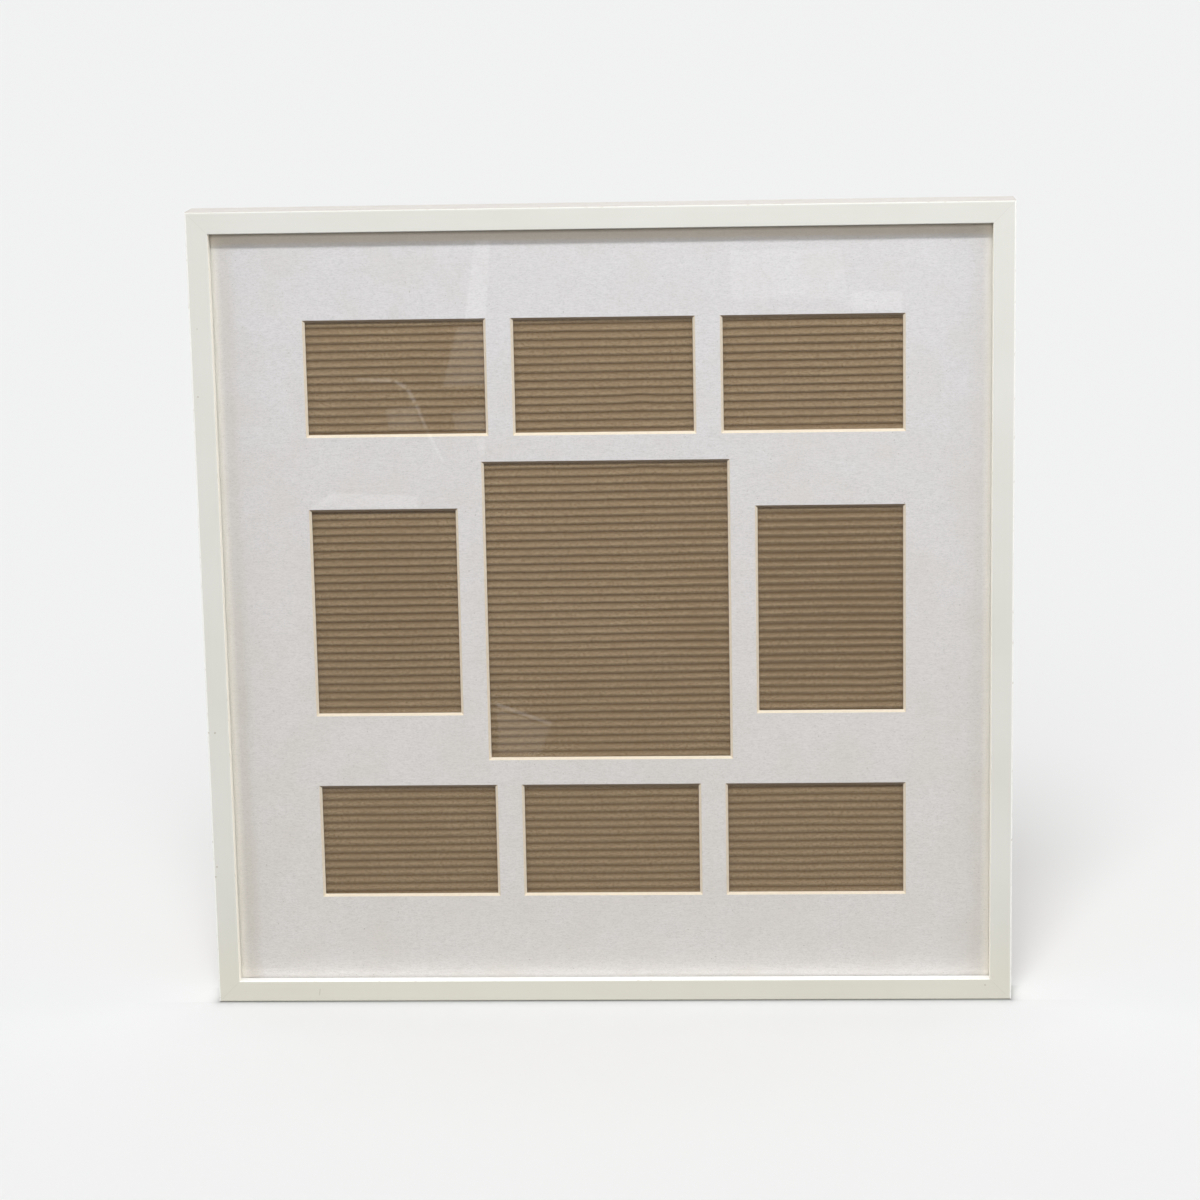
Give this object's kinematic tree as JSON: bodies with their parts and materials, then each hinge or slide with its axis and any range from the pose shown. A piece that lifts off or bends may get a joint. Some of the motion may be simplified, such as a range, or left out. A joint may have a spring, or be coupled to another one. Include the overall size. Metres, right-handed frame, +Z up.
{
  "type": "collage photo frame",
  "caption": "Square white deep-profile collage photo frame with a bevel-cut window mat, glazing, kraft corrugated sheet, turn-button back and D-ring hangers.",
  "frame": {"origin": "middle of the bottom face, halfway between the front and back of the moulding", "axes": "+X to the viewer's right, +Y from the front towards the back, +Z up; the glazed front faces -Y"},
  "size_m": [0.66, 0.04, 0.66],
  "materials": {
    "white_paint": "satin white paint",
    "glazing": "clear glazing",
    "mat_board": "off-white textured mat board with a cream core",
    "kraft_board": "brown kraft corrugated board",
    "spacer_wood": "raw softwood",
    "backing": "brown hardboard",
    "nail_steel": "bright steel",
    "button_steel": "zinc-plated steel",
    "screw_steel": "zinc-plated steel",
    "hanger_steel": "nickel-plated steel",
    "bumper_rubber": "dark grey rubber"
  },
  "bodies": {
    "frame": {"top_rail": "white_paint", "bottom_rail": "white_paint", "left_stile": "white_paint", "right_stile": "white_paint", "corner_nails": "nail_steel", "glazing_sheet": "glazing", "window_mat": "mat_board", "corrugated_sheet": "kraft_board", "top_spacer": "spacer_wood", "bottom_spacer": "spacer_wood", "left_spacer": "spacer_wood", "right_spacer": "spacer_wood", "backing_board": "backing", "button_screws": "screw_steel", "left_strap": "hanger_steel", "right_strap": "hanger_steel", "strap_screws": "screw_steel", "wall_bumpers": "bumper_rubber"},
    "button_top_left": {"button_top_left": "button_steel"},
    "button_top_right": {"button_top_right": "button_steel"},
    "button_bottom_left": {"button_bottom_left": "button_steel"},
    "button_bottom_right": {"button_bottom_right": "button_steel"},
    "button_left_upper": {"button_left_upper": "button_steel"},
    "button_left_lower": {"button_left_lower": "button_steel"},
    "button_right_upper": {"button_right_upper": "button_steel"},
    "button_right_lower": {"button_right_lower": "button_steel"},
    "left_ring": {"left_ring": "hanger_steel"},
    "right_ring": {"right_ring": "hanger_steel"}
  },
  "joints": [
    {"name": "button_top_left_turn", "type": "hinge", "parent": "frame", "child": "button_top_left", "pos_m": [-0.165, 0.01825, 0.6535], "axis": [0, 1, 0], "continuous": true},
    {"name": "button_top_right_turn", "type": "hinge", "parent": "frame", "child": "button_top_right", "pos_m": [0.165, 0.01825, 0.6535], "axis": [0, 1, 0], "continuous": true},
    {"name": "button_bottom_left_turn", "type": "hinge", "parent": "frame", "child": "button_bottom_left", "pos_m": [-0.165, 0.01825, 0.0065], "axis": [0, 1, 0], "continuous": true},
    {"name": "button_bottom_right_turn", "type": "hinge", "parent": "frame", "child": "button_bottom_right", "pos_m": [0.165, 0.01825, 0.0065], "axis": [0, 1, 0], "continuous": true},
    {"name": "button_left_upper_turn", "type": "hinge", "parent": "frame", "child": "button_left_upper", "pos_m": [-0.3235, 0.01825, 0.495], "axis": [0, 1, 0], "continuous": true},
    {"name": "button_left_lower_turn", "type": "hinge", "parent": "frame", "child": "button_left_lower", "pos_m": [-0.3235, 0.01825, 0.165], "axis": [0, 1, 0], "continuous": true},
    {"name": "button_right_upper_turn", "type": "hinge", "parent": "frame", "child": "button_right_upper", "pos_m": [0.3235, 0.01825, 0.495], "axis": [0, 1, 0], "continuous": true},
    {"name": "button_right_lower_turn", "type": "hinge", "parent": "frame", "child": "button_right_lower", "pos_m": [0.3235, 0.01825, 0.165], "axis": [0, 1, 0], "continuous": true},
    {"name": "left_ring_swing", "type": "hinge", "parent": "frame", "child": "left_ring", "pos_m": [-0.3235, 0.01973, 0.44], "axis": [1, 0, 0], "range_deg": [0, 180]},
    {"name": "right_ring_swing", "type": "hinge", "parent": "frame", "child": "right_ring", "pos_m": [0.3235, 0.01973, 0.44], "axis": [1, 0, 0], "range_deg": [0, 180]}
  ]
}
